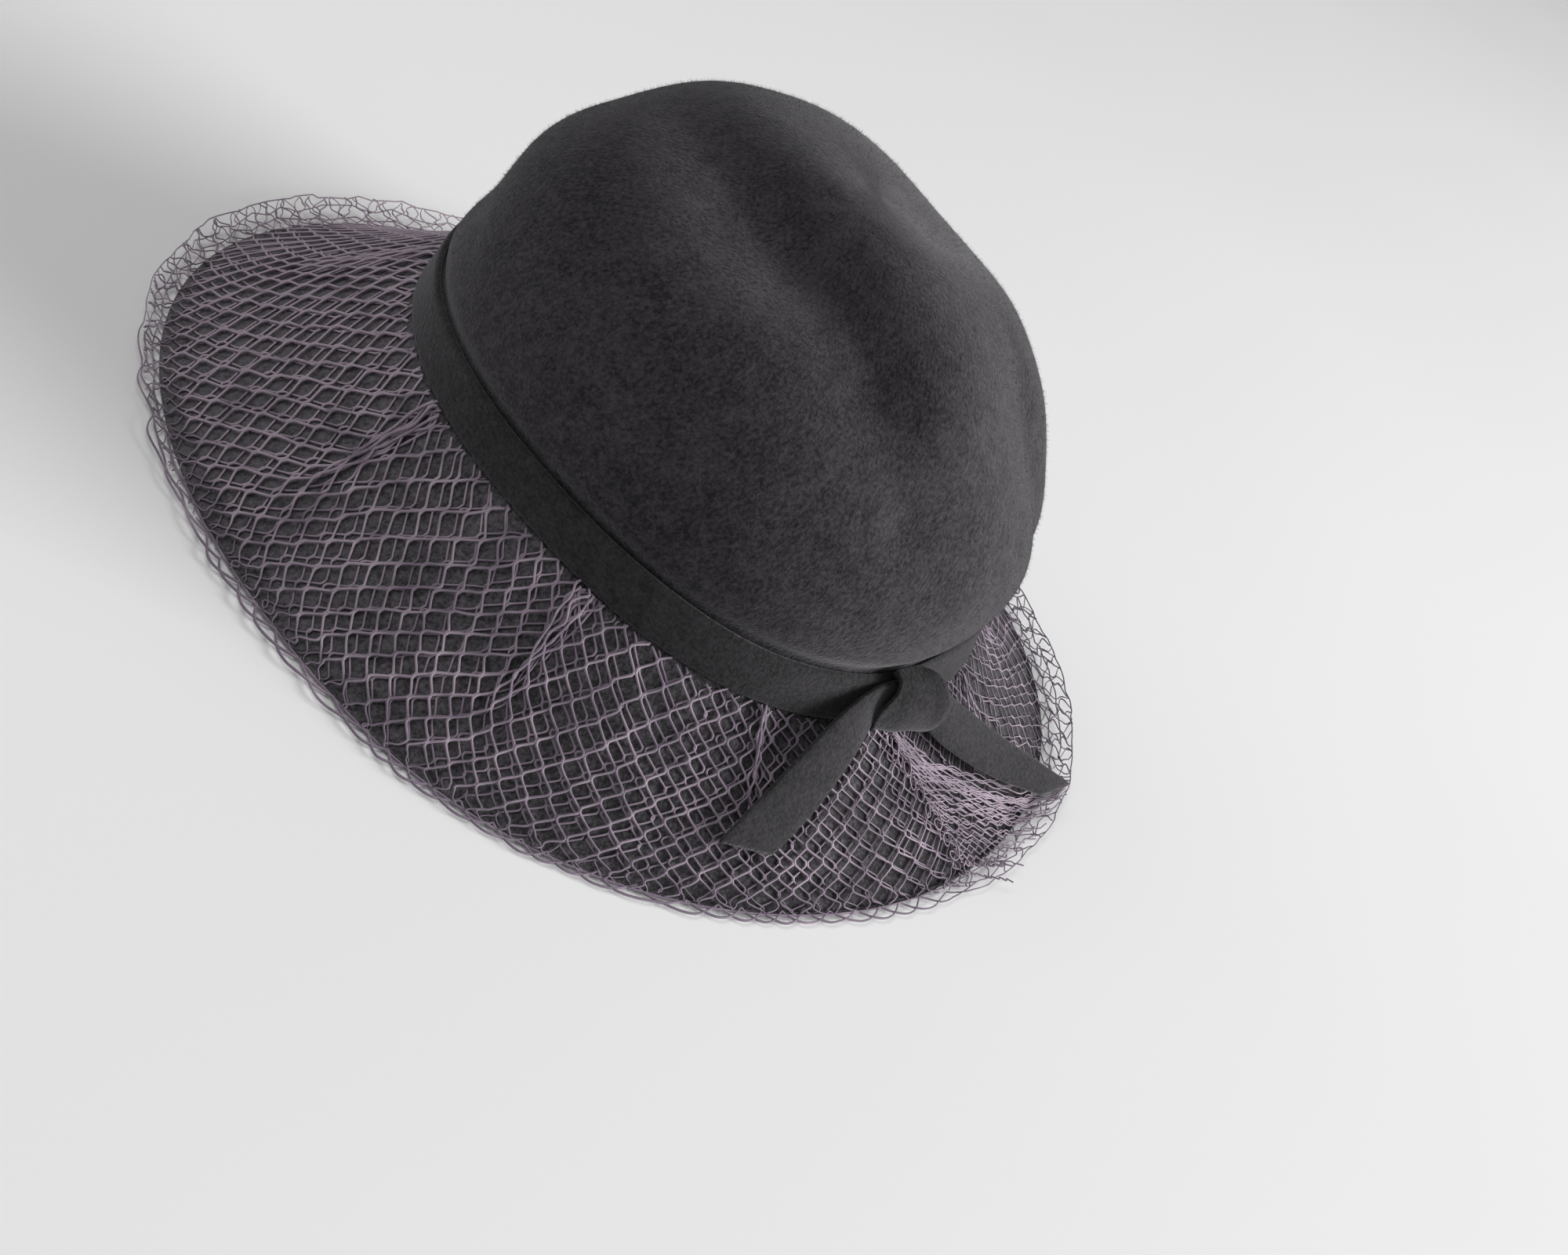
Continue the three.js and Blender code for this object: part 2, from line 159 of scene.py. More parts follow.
# The tied bow, from the middle of the band's face at its heading: left, out and up
KNOT_HEADING = 167.2
KNOT_PATH = make_table(
    "left out up width curl tuck",
    (-1.6, 2.2, -6.4, 17.0, 0.2, 0.3),
    (-1.0, 5.6, -7.4, 20.5, 0.8, 1.5),
    (-0.6, 9.0, -5.0, 23.0, 1.8, 3.4),
    (-0.6, 9.9, 0.6, 22.6, 2.8, 4.4),
    (-0.8, 8.8, 6.2, 20.0, 2.9, 3.6),
    (-1.0, 5.3, 10.2, 16.0, 1.8, 1.6),
    (-0.6, 1.4, 10.8, 12.6, 0.5, 0.4),
    (-0.2, -0.6, 10.4, 12.0, 0.0, 0.0),
)
LEFT_TAIL = make_table(
    "left out up width lean",
    (-5, 1.5, 1.0, 10.6, 10),
    (9, 2.2, 1.2, 12.6, 12),
    (23, 7.2, -5.0, 14.6, 36),
    (39, 12.9, -16.5, 15.6, 50),
    (60, 19.2, -28.6, 15.2, 52),
)
RIGHT_TAIL = make_table(
    "left out up width lean",
    (3, 4.2, 1.8, 10.0, 8),
    (-9, 4.6, 1.6, 10.8, 9),
    (-27, 10.4, -8.6, 14.0, 34),
    (-50, 18.2, -19.6, 13.4, 45),
    (-79, 30.0, -30.5, 8.8, 50),
)
LEFT_SLANT = 11.0  # how much longer the upper edge is cut than the lower one
RIGHT_SLANT = 14.4
SLANT_START = 0.72  # share of a tail's length where the slant starts
TAIL_CUP = 0.7  # how far the edges bend towards the brim
CUP_RANGE = (0.15, 0.5)  # shares of the length over which that comes in
CURL_START = 0.2  # share of the knot's half width where its curl starts
BOW_TURN = 2.25  # degrees to each side, to find the band's direction
KNOT_STEPS = 64
TAIL_STEPS = 72
STRIP_CORNERS = 48
STRIP_POWERS = (0.4, 0.45)  # of the superellipse, across the strip and through it
STRIP_TAPER = 2.0  # steps over which a strip's ends run thin

# Net: threads in zigzags that meet at the corners of diamonds
NET_STRANDS = 188
NET_SAMPLES = 122
NET_STEPS = 2000  # that measure the way round
TUBE_SIDES = 4
THREAD = 0.55
NET_KNOT = 0.35  # extra thickness where two threads join, as a share
NET_TWIST = 0.22  # how far they lie over each other there, in thicknesses
NET_FREE_THREAD = 0.85  # thickness past the rim, as a share
NET_PHASE = 0.25  # where in the zigzag a thread starts
NET_SWING = 0.94  # width of the zigzag, as a share of the spacing
NET_JOINED = 1.35  # how much the corners are flattened into joined runs
JOINED_START = 0.7  # share of the zigzag's height
NET_TUCK = 1.2  # least distance of a cut end from the felt wall
NET_TEETH = 1.6  # how much further out some of the cut ends stop
NET_SLIP = 0.3  # share of the lift that is left under the band
NET_SLIP_REACH = 0.1  # how far out on the brim that goes
NET_END_HEADING = 172.0  # where the strip's two ends overlap
NET_END_LAP = 8.0
NET_EVEN_REACH = 0.5  # where on the brim the threads lie equally far apart
NET_FREE_REACH = 0.85  # how far out the pleats pull at them
DRIFT_RANGE = (4, 40)  # distances from the fold over which the drift comes in
FREE_RANGE = (-1, 7)  # distances in from the rim over which the loose threads lie down
FOLD_PART = 5  # distance from the fold over which the two layers part
LAYERS_APART = 0.95  # degrees from the upper layer's threads to the lower one's
PLEAT_FULL = 0.1  # how far out the pleats keep their height
# Lift off the felt and ripples in it, shares of the pleats' height and of the thread's thickness,
# and the way in which the zigzags run
LAYERS = dict(
    upper=dict(lift=1.8, ripples="high_ripples", pleats=1.0, thread=1.0, way=1, seed=31),
    lower=dict(lift=0.75, ripples="low_ripples", pleats=0.4, thread=0.8, way=-1, seed=51),
)
FOLD_LIFT = (LAYERS["upper"]["lift"] + LAYERS["lower"]["lift"]) / 2
FLOOR_CLEARANCE = 0.42
SPRING_END = 1.2  # share of the overhang past which the threads spring no higher
EDGE_SEED = 81
EDGE_RINGS = 3
EDGE_CORNERS = 176
EDGE_SAMPLES = 20  # from corner to corner
EDGE_SCATTER = 0.8  # degrees that a corner may lie off its place
EDGE_UNEVEN = 1.2  # of the inner rings' corners
FOLD_UNEVEN = 0.5  # of the outermost ring's corners
EDGE_STEP = 0.34  # from ring to ring, as a share of the overhang
# Where the fold stays close to the rim, its threads hang past it in loops, and the others stop there
CLOSE_PAST = (5.0, 8.0)  # overhangs between which that ends
RIM_STOP = 0.6  # how far in from the rim
LOOPED_RINGS = 2
FOLD_LOOPS = 48  # in a full turn
FOLD_LOOP = 4.4  # depth of a loop
# By heading: the net's spread along the rim, the height of its diamonds and how plump its thread
# is, and how far its fold stands past the rim, how uneven that is and how high the fold springs up
NET_FIT = make_table(
    "heading spread cell plump past ragged spring",
    (0, 1.0, 10.4, 1.5, 9.5, 1.8, 5.0),
    (40, 1.02, 10.4, 1.7, 7.0, 1.2, 2.0),
    (60, 1.0, 10.0, 1.65, 6.4, 1.0, 1.0),
    (85, 0.96, 9.1, 1.5, 4.6, 0.8, 0.3),
    (115, 1.0, 7.9, 1.4, 3.6, 0.8, 0.2),
    (145, 1.05, 7.4, 1.35, 3.6, 0.7, 0.2),
    (165, 1.15, 7.2, 1.1, 4.6, 0.7, 0.3),
    (185, 1.15, 8.6, 0.85, 8.5, 1.0, 1.0),
    (215, 1.25, 10.4, 0.75, 11.5, 1.0, 2.0),
    (250, 1.05, 9.6, 0.9, 10.0, 1.2, 3.0),
    (315, 1.0, 9.6, 0.9, 10.0, 1.8, 5.0),
    (360, 1.0, 10.4, 1.5, 9.5, 1.8, 5.0),
)
# Pleats under the band: share is their part of the cloth that is taken up, half is in cloth
PLEATS = make_table(
    "heading half share rise length",
    (20, 10, 1.2, 1.2, 0.6),
    (66, 7, 1.3, 3.0, 0.75),
    (101, 7, 1.4, 2.8, 0.8),
    (141, 6, 0.9, 2.0, 0.7),
    (198, 9, 1.0, 1.4, 0.7),
    (228, 9, 1.0, 1.4, 0.8),
    (262, 10, 1.2, 1.8, 0.7),
    (318, 10, 1.2, 1.6, 0.6),
)
# The gathered end of the net: its threads leave this edge and run to the rim at the far heading
END_EDGE = make_table(
    "heading reach far",
    (167.3, 0.05, 204.0),
    (169.4, 0.18, 202.5),
    (171.8, 0.33, 200.0),
    (173.6, 0.52, 195.5),
    (175.8, 0.75, 189.0),
    (176.2, 1.0, 180.5),
)
END_SEED = 71
END_THREADS = 44
END_SAMPLES = 90
END_THREAD = 0.48
END_SCATTER = 0.03  # of the threads' places on the edge, in rows of its table
END_LIFT = 2.6
END_PILE = 1.3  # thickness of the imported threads
END_SWING = 0.6  # half width of their zigzag
END_CELLS = 6.5
END_EASE = 0.1  # share of a thread's length over which the zigzag comes in
PACKED_ROW = 8.0  # length of a row of the edge's table in their waves
PACKED_RUN = 30.0  # length of a thread in them
END_LOOPS = 12
LOOP_SAMPLES = 30
END_LOOP = 2.6  # radius of the loops along the edge
END_LOOSE = 5.0  # how far past the fold its last threads stand
LOOSE_ROWS = 1.2  # how many of its table's last rows they have
LOOSE_LEAST = 0.2  # least share of that distance

# Loose fibres that soften the felt's outline
CROWN_FIBRES = 45000
FIBRE_LENGTH = (0.5, 1.7)
FIBRE_RADIUS = 0.045  # thicker than real ones, so that they show
FIBRE_SUNK = 0.2  # how deep a root lies in the felt
FIBRE_STAND = (0.25, 0.9)  # part of a fibre's way that goes outwards
FIBRE_LEAN = (0.35, 0.5)  # mean and spread of the part along the nap
FIBRE_SWAY = 0.5  # spread of the part across the nap
FIBRE_SINES = (0.06, 0.999)  # of the climbs with fibres
FIBRE_SEED = 91
ROOT_SEED = 92
ROOT_STEP = 0.5  # degrees, to find the skin's directions

# Surfaces: sizes of noise and depths of relief, and turns, the tones where dark ends and light starts
NAP_STREAK = 1.3  # this and the grain are drawn coarser than wool fibres, so that they show
FELT_GRAIN = 1.1
FELT_CLUMP = 6.0
FELT_PATCH = 40.0
GRAIN_SHARE = 0.55  # of the fine noise, with streaks for the rest
PATCH_SHARE = 0.4  # of the soft noise, with clumps for the rest
FINE_SHARE = 0.72  # of the felt's tone, with soft noise for the rest
FELT_TURNS = (0.41, 0.59)
FELT_RELIEF = 0.9
NET_CLOUD = 12.0
THREAD_TWIST = 0.6  # coarser than the thread's own twist, so that it shows
NET_TURNS = (0.455, 0.755)
NET_RELIEF = 0.2
NET_PAINTED_LIGHT = 1.4  # painted light: how fast the thread is painted paler away from its darkest place
NET_DARKEST_Y = 75.0
NET_FOLD_SHADE = 0.2  # painted shade: how much darker the thread is painted low down along the fold
FOLD_SHADE_HEIGHTS = (3.0, 6.0)  # heights between which that ends
FIBRE_STRAND = 1.2
FIBRE_TURNS = (0.35, 0.65)
PAPER_CLOUD = 500.0
PAPER_TURNS = (0.3, 0.7)

# Camera, fitted to the photo
IMAGE_WIDTH = 2000
CAMERA_AZIMUTH = 108.211
CAMERA_ELEVATION = 32.471
CAMERA_ROLL = 32.290
CAMERA_PLACE = (542.62, 247.61, 381.15)
FOCAL_PIXELS = 2748.375
SENSOR_WIDTH = 36.0

# Studio, in metres and watts
LIGHTS = make_table(
    "name place size power",
    ("key", (-1.18, 2.90, 0.98), 1.9, 154),
    ("top", (0.6, -0.7, 2.1), 1.6, 15),
)
LIGHT_AIM = (0.0, 0.02, 0.07)
SKY_STRENGTH = 0.3
FLOOR_RADIUS = 12.0
FLOOR_CORNERS = 96


def smooth(value, low, high):
    """Smooth step: 0 below low, 1 above high, and 3t^2 - 2t^3 between."""
    t = np.clip((value - low) / (high - low), 0, 1)
    return t * t * (3 - 2 * t)


def bell(offset, half):
    """Bell curve: e to the minus square of offset over half."""
    return np.exp(-((offset / half) ** 2))


def mix(low, high, share):
    """Straight mix of two values by a share."""
    return low + (high - low) * share


def turn_between(a, b):
    """Angle from b to a in degrees, from -180 to 180."""
    return (a - b + 180) % 360 - 180


def signed_power(value, power):
    """Power of a value's size, with its sign kept."""
    return np.sign(value) * np.abs(value) ** power


def column(table, key):
    """One column of a table as an array."""
    return np.array([row[key] for row in table], float)


def curve(values, place):
    """Catmull-Rom curve through equally spaced values, at places from 0 to their count less one."""
    padded = np.concatenate([[2 * values[0] - values[1]], values, [2 * values[-1] - values[-2]]])
    i = np.clip(np.floor(place).astype(int), 0, len(values) - 2)
    t = place - i
    a, b, c, d = (padded[i + k] for k in range(4))
    return b + 0.5 * t * (c - a + t * (2 * a - 5 * b + 4 * c - d + t * (3 * (b - c) + d - a)))


def curves(table, place, *keys):
    """Columns of a table as curves through its rows."""
    return (curve(column(table, key), place) for key in keys)


def waves(kind, *places, base=0):
    """Sum of sines with seeded random directions and phases, one for each length of a row of WAVES."""
    row = WAVES[kind]
    rng = np.random.default_rng(base + row["seed"])
    total = 0
    for length in row["lengths"]:
        turn = rng.normal(size=len(places))
        turn *= 2 * np.pi / length / np.linalg.norm(turn)
        phase = rng.uniform(0, 2 * np.pi)
        total = total + np.sin(sum(k * place for k, place in zip(turn, places)) + phase)
    return row["size"] * total / len(row["lengths"])


def net_waves(kind, heading, inward, base=0):
    """Waves over the net, stretched along its threads."""
    return waves(kind, heading, inward / WAVES[kind]["stretch"], base=base)


def in_turn(count):
    """A column of 1 and -1 in turn."""
    return np.where(np.arange(count) % 2 == 0, 1.0, -1.0)[:, None]


def unit(vectors):
    """Vectors scaled to length 1."""
    return vectors / np.linalg.norm(vectors, axis=-1, keepdims=True)


def head_oval(heading, grow, level=1.0):
    """Superellipse of the head: half axes grown, scaled by level, round (0, HEAD_Y)."""
    turn = np.radians(heading)
    power = 2 / HEAD_SQUARENESS
    x = (HEAD_HALF_WIDTH + grow) * level * signed_power(np.sin(turn), power)
    y = HEAD_Y - (HEAD_HALF_LENGTH + grow) * level * signed_power(np.cos(turn), power)
    return x, y


def rim_oval(heading, grow):
    """Rim: an ellipse in front and a shorter one behind, both grown."""
    turn = np.radians(heading)
    length = np.where(np.cos(turn) > 0, RIM_FRONT, RIM_BACK)
    x = (RIM_HALF_WIDTH + grow) * np.sin(turn)
    y = RIM_WIDEST_Y - (length + grow) * np.cos(turn)
    return x, y


def band_level(y, height):
    """Height of the band's sloping levels: it falls towards the back."""
    return height - BACK_DROP * (y - HEAD_Y)


def band_face(heading, up, inset):
    """Point of the band's face, from its lower edge (up 0) to its top edge (up 1)."""
    x, y = head_oval(heading, BAND_FLARE * (1 - up) - inset)
    return np.stack([x, y, band_level(y, mix(BAND_BOTTOM, BAND_TOP, up))], -1)


def wall_at(heading, up, inset):
    """Felt wall behind the band: the band's face less its felt and the gap."""
    return band_face(heading, up, STRIP_FELT + GAP + inset)


def dent_depth(point, heading, rise):
    """Depth of the dents at a point of the round crown: crease, back folds and dimples added."""
    x, y, z = np.moveaxis(point, -1, 0)
    c = CREASE
    line = mix(c["front_x"], c["back_x"], smooth(y, c["start_y"], c["bend_y"]))
    across = bell(x - line, np.where(x > line, c["left_half"], c["right_half"]))
    along = mix(c["shallowest"], 1, bell(y - c["middle_y"], c["half_length"]))
    ends = smooth(y, c["start_y"], c["full_y"]) * smooth(z, c["end_z"], c["full_z"])
    depth = c["depth"] * across * along * ends
    for f in BACK_FOLDS:
        upright = smooth(rise, f["start_rise"], f["full_rise"])
        upright = upright * (1 - smooth(rise, f["ease_rise"], f["end_rise"]))
        depth = depth + f["depth"] * bell(turn_between(heading, f["heading"]), f["half"]) * upright
    for d in DIMPLES:
        away = np.linalg.norm(point - np.array([d["x"], d["y"], d["z"]]), axis=-1)
        depth = depth + d["depth"] * bell(away, d["reach"])
    return depth


def crown_at(heading, climb, inset):
    """Crown above the band: superellipse in section, swollen by heading, leant and dented."""
    level = np.cos(np.radians(climb)) ** (2 / CROWN_ROUNDNESS)
    rise = (CROWN_HEIGHT - inset) * np.sin(np.radians(climb)) ** (2 / CROWN_ROUNDNESS)
    swelling = sum(
        s["out"] * bell(turn_between(heading, s["heading"]), s["spread"])
        * bell(rise - s["rise"], s["tall"])
        for s in SWELLS
    )
    grow = mix(swelling, -(STRIP_FELT + GAP), bell(rise, FOOT_PINCH_RISE))
    x, y = head_oval(heading, grow - inset, level)
    y = y + CROWN_LEAN * rise
    point = np.stack([x, y, band_level(y, BAND_TOP) + rise], -1)
    inward = unit(np.array([0, HEAD_Y, BAND_TOP + CORE_RISE]) - point)
    return point + inward * dent_depth(point, heading, rise)[..., None]


def brim_at(heading, reach, inset):
    """Brim from its bend at the band (reach 0) to the rim (reach 1): a line that sags."""
    bend = wall_at(heading, 0, inset)
    bend[..., 2] -= GAP + BRIM_UNDER_DROP * (inset / FELT)
    x, y = rim_oval(heading, -RIM_FLAT * (inset / FELT))
    rim = np.stack([x, y, 0 * x], -1)
    share = np.asarray(reach)[..., None]
    point = mix(bend, rim, share)
    point[..., 2] -= BRIM_SAG * 4 * reach * (1 - reach)
    return point


def linear(hex_colour):
    """Linear RGBA of an sRGB hex colour."""
    srgb = np.array([int(hex_colour[i:i + 2], 16) for i in (1, 3, 5)]) / 255
    rgb = np.where(srgb <= 0.04045, srgb / 12.92, ((srgb + 0.055) / 1.055) ** 2.4)
    return (*rgb, 1.0)


def node(tree, kind, links=None, stops=(), **values):
    """Adds a shader node, or takes the tree's own one of that name, with its settings and links.

    Values set properties or inputs by name. A link is a socket, or a number for an input without a
    name of its own. Stops are the tones and the hex colours of a ramp.
    """
    made = tree.nodes.get(kind) or tree.nodes.new(kind)
    for name, value in values.items():
        if hasattr(made, name):
            setattr(made, name, value)
        else:
            made.inputs[name.replace("_", " ")].default_value = value
    for name, source in (links or {}).items():
        if isinstance(source, float):
            made.inputs[name].default_value = source
        else:
            tree.links.new(source, made.inputs[name])
    for index, (tone, colour) in enumerate(stops):
        stop = made.color_ramp.elements[index]
        stop.position, stop.color = tone, linear(colour)
    return made


def new_material(name):
    """Empty node material with its tree and the place on the object."""
    material = bpy.data.materials.new(name)
    material.use_nodes = True
    tree = material.node_tree
    return material, tree, node(tree, "ShaderNodeTexCoord").outputs["Object"]


def felt_material(name, dark, light, sheen, painted_light_and_shade=0.0):
    """Wool felt, pressed and brushed: short streaks of nap, fine grain, soft clumps and cloudy dye.

    The streaks follow the nap attribute, which is in metres with the nap's direction shortened.
    Painted light and shade: the last argument paints the felt paler towards the front and darker towards the
    back, for each metre.
    """
    material, tree, place = new_material(name)
    nap = node(tree, "ShaderNodeAttribute", attribute_name="nap").outputs["Vector"]
    streak = node(
        tree, "ShaderNodeTexNoise", {"Vector": nap}, Scale=1 / (NAP_STREAK * MM), Detail=3.0,
        Roughness=0.65)
    grain = node(
        tree, "ShaderNodeTexNoise", {"Vector": place}, Scale=1 / (FELT_GRAIN * MM), Detail=3.0,
        Roughness=0.7)
    clump = node(tree, "ShaderNodeTexNoise", {"Vector": place}, Scale=1 / (FELT_CLUMP * MM), Detail=3.0)
    patch = node(tree, "ShaderNodeTexNoise", {"Vector": place}, Scale=1 / (FELT_PATCH * MM), Detail=2.0)
    fine = node(
        tree, "ShaderNodeMix", {"A": streak.outputs["Fac"], "B": grain.outputs["Fac"]}, Factor=GRAIN_SHARE)
    soft = node(
        tree, "ShaderNodeMix", {"A": clump.outputs["Fac"], "B": patch.outputs["Fac"]}, Factor=PATCH_SHARE)
    shade = node(
        tree, "ShaderNodeMix", {"A": soft.outputs["Result"], "B": fine.outputs["Result"]}, Factor=FINE_SHARE)
    axes = node(tree, "ShaderNodeSeparateXYZ", {"Vector": place})
    # Painted light and shade: the tone goes paler towards the front (-Y) and darker towards the back.
    tone = node(
        tree, "ShaderNodeMath", {0: axes.outputs["Y"], 1: -painted_light_and_shade, 2: shade.outputs["Result"]},
        operation="MULTIPLY_ADD")
    ramp = node(
        tree, "ShaderNodeValToRGB", {"Fac": tone.outputs["Value"]}, zip(FELT_TURNS, (dark, light)))
    bump = node(
        tree, "ShaderNodeBump", {"Height": fine.outputs["Result"]}, Strength=0.8, Distance=FELT_RELIEF * MM)
    node(
        tree, "Principled BSDF", {"Base Color": ramp.outputs["Color"], "Normal": bump.outputs["Normal"]},
        Roughness=0.95, Specular_IOR_Level=0.1, Sheen_Weight=sheen, Sheen_Roughness=0.45,
        Sheen_Tint=linear("#d8d6da"))
    return material


def net_material():
    """Nylon net: fine twisted thread with a faint sheen, dyed mauve a little unevenly.

    Painted light: the thread is painted paler by its distance in metres along Y from its darkest place, times
    the painted-light rate.
    Painted shade: low down along the fold it is painted darker.
    """
    material, tree, place = new_material("mauve_nylon_net")
    cloud = node(tree, "ShaderNodeTexNoise", {"Vector": place}, Scale=1 / (NET_CLOUD * MM), Detail=3.0)
    twist = node(tree, "ShaderNodeTexNoise", {"Vector": place}, Scale=1 / (THREAD_TWIST * MM), Detail=2.0)
    axes = node(tree, "ShaderNodeSeparateXYZ", {"Vector": place})
    # Painted light: paler with the distance along Y from the darkest place.
    offset = node(
        tree, "ShaderNodeMath", {0: axes.outputs["Y"], 1: NET_DARKEST_Y * MM}, operation="SUBTRACT")
    away = node(tree, "ShaderNodeMath", {0: offset.outputs["Value"]}, operation="ABSOLUTE")
    painted_light_tone = node(
        tree, "ShaderNodeMath", {0: away.outputs["Value"], 1: NET_PAINTED_LIGHT, 2: cloud.outputs["Fac"]},
        operation="MULTIPLY_ADD")
    # Painted shade: darker low down along the fold, near the floor.
    fold = node(
        tree, "ShaderNodeMapRange", {"Value": axes.outputs["Z"]}, From_Min=FOLD_SHADE_HEIGHTS[0] * MM,
        From_Max=FOLD_SHADE_HEIGHTS[1] * MM, To_Min=-NET_FOLD_SHADE, To_Max=0.0)
    tone = node(
        tree, "ShaderNodeMath", {0: painted_light_tone.outputs["Value"], 1: fold.outputs["Result"]}, operation="ADD")
    ramp = node(
        tree, "ShaderNodeValToRGB", {"Fac": tone.outputs["Value"]},
        zip(NET_TURNS, ("#7b6f7d", "#ae9fac")))
    bump = node(
        tree, "ShaderNodeBump", {"Height": twist.outputs["Fac"]}, Strength=0.5, Distance=NET_RELIEF * MM)
    node(
        tree, "Principled BSDF", {"Base Color": ramp.outputs["Color"], "Normal": bump.outputs["Normal"]},
        Roughness=0.6, Specular_IOR_Level=0.3, Sheen_Weight=0.2, Sheen_Roughness=0.4,
        Sheen_Tint=linear("#e6dce6"))
    return material


def fibre_material():
    """Wool fibre: fine dull hair, grey with darker and paler strands."""
    material, tree, place = new_material("wool_fibre")
    strand = node(tree, "ShaderNodeTexNoise", {"Vector": place}, Scale=1 / (FIBRE_STRAND * MM), Detail=2.0)
    ramp = node(
        tree, "ShaderNodeValToRGB", {"Fac": strand.outputs["Fac"]},
        zip(FIBRE_TURNS, ("#242224", "#4c494c")))
    node(
        tree, "Principled BSDF", {"Base Color": ramp.outputs["Color"]}, Roughness=0.9,
        Specular_IOR_Level=0.15)
    return material


def floor_material():
    """Matt studio paper: pale grey with a barely uneven tone."""
    material, tree, place = new_material("matt_paper")
    cloud = node(tree, "ShaderNodeTexNoise", {"Vector": place}, Scale=1 / (PAPER_CLOUD * MM), Detail=2.0)
    ramp = node(
        tree, "ShaderNodeValToRGB", {"Fac": cloud.outputs["Fac"]},
        zip(PAPER_TURNS, ("#f2f2f2", "#f6f6f6")))
    node(
        tree, "Principled BSDF", {"Base Color": ramp.outputs["Color"]}, Roughness=1.0,
        Specular_IOR_Level=0.0)
    return material


def new_object(name, data):
    """Object in the scene for a mesh, a camera or a light."""
    made = bpy.data.objects.new(name, data)
    bpy.context.collection.objects.link(made)
    return made


def mesh_piece(name, points, faces, material, nap=None, weld=False):
    """Object at the origin from points in millimetres, with its nap stored on the points.

    A weld joins points that lie together, which closes a pole or an end that runs out to an edge.
    """
    mesh = bpy.data.meshes.new(name)
    mesh.from_pydata((points.reshape(-1, 3) * MM).tolist(), [], faces.tolist())
    mesh.polygons.foreach_set("use_smooth", np.ones(len(faces), bool))
    mesh.materials.append(material)
    if nap is not None:
        stored = mesh.attributes.new("nap", "FLOAT_VECTOR", "POINT")
        stored.data.foreach_set("vector", (nap.reshape(-1, 3) * MM).ravel())
    if weld:
        joined = bmesh.new()
        joined.from_mesh(mesh)
        bmesh.ops.remove_doubles(joined, verts=joined.verts, dist=WELD_DISTANCE * MM)
        joined.to_mesh(mesh)
        joined.free()
    return new_object(name, mesh)


def grid_faces(rows, columns, close_rows, close_columns):
    """Quads of a grid of points, with its rows or columns joined end to start where asked."""
    index = np.arange(rows * columns).reshape(rows, columns)
    if close_rows:
        index = np.concatenate([index, index[:1]])
    if close_columns:
        index = np.concatenate([index, index[:, :1]], 1)
    return np.stack([index[:-1, :-1], index[:-1, 1:], index[1:, 1:], index[1:, :-1]], -1).reshape(-1, 4)


def ring_nap(heading, along, stretch, twist, radius):
    """Nap round the hat: a cylinder of one radius, turned along its length, with the length shortened."""
    turn = np.radians(heading + twist * along)
    return np.stack([radius * np.sin(turn), radius * np.cos(turn), along / stretch + 0 * turn], -1)


def skin_nap(around, points, twist, radius):
    """Nap of a skin of rings, along the way over it from its first ring."""
    steps = np.linalg.norm(np.diff(points, axis=0), axis=-1)
    along = np.cumsum(np.concatenate([np.zeros((1, len(around))), steps]), 0)
    return ring_nap(np.broadcast_to(around, along.shape), along, NAP_STRETCH, twist, radius)


def crown_skin(heading, climb, inset):
    """Crown with the slight unevenness of hand-blocked felt: slow waves along the way out."""
    point = crown_at(heading, climb, inset)
    uneven = waves("crown", *np.moveaxis(point, -1, 0))
    outward = unit(point - np.array([0, HEAD_Y, BAND_TOP]))
    return point + outward * (uneven * smooth(climb, *CROWN_CALM))[..., None]


def crown_piece(material):
    """Crown: outer skin from the top to the seam behind the band, then the inner skin back up."""
    around = np.arange(0, 360, CROWN_STEP)
    heading, climb = np.meshgrid(around, CROWN_CLIMBS)
    wall_heading, wall_up = np.meshgrid(around, np.linspace(WALL_TOP, SEAM_UP, WALL_ROWS))

    def skin(inset):
        return np.concatenate([crown_skin(heading, climb, inset), wall_at(wall_heading, wall_up, inset)])

    points = np.concatenate([skin(0), skin(FELT)[::-1]])
    faces = grid_faces(*points.shape[:2], False, True)[:, ::-1]
    return mesh_piece("felt_crown", points, faces, material, skin_nap(around, points, **CROWN_NAP), weld=True)


def fibres(name, root, outward, along, material):
    """Loose fibres: slim three-sided points that stand off the felt and lean along the nap."""
    rng = np.random.default_rng(FIBRE_SEED)
    count = len(root)
    across = np.cross(outward, along)
    stand = rng.uniform(*FIBRE_STAND, count)[:, None]
    lean = rng.normal(*FIBRE_LEAN, count)[:, None]
    sway = rng.normal(0, FIBRE_SWAY, count)[:, None]
    way = unit(stand * outward + lean * along + sway * across)
    tip = root + way * rng.uniform(*FIBRE_LENGTH, count)[:, None]
    angle = 2 * np.pi * np.arange(3) / 3
    ring = np.cos(angle)[:, None] * along[:, None] + np.sin(angle)[:, None] * across[:, None]
    base = (root - FIBRE_SUNK * outward)[:, None] + FIBRE_RADIUS * ring
    points = np.concatenate([base, tip[:, None]], 1)
    one = np.array([[0, 1, 3], [1, 2, 3], [2, 0, 3], [0, 2, 1]])
    faces = one[None] + (4 * np.arange(count))[:, None, None]
    return mesh_piece(name, points, faces.reshape(-1, 3), material)


def crown_fibres(material):
    """Fibres spread evenly over the crown: the sine of the climb is uniform, as on a dome."""
    rng = np.random.default_rng(ROOT_SEED)
    heading = rng.uniform(0, 360, CROWN_FIBRES)
    climb = np.degrees(np.arcsin(rng.uniform(*FIBRE_SINES, CROWN_FIBRES)))
    root = crown_skin(heading, climb, 0)
    beside = crown_skin(heading + ROOT_STEP, climb, 0) - root
    below = crown_skin(heading, climb - ROOT_STEP, 0) - root
    return fibres("felt_crown_fibres", root, unit(np.cross(below, beside)), unit(below), material)


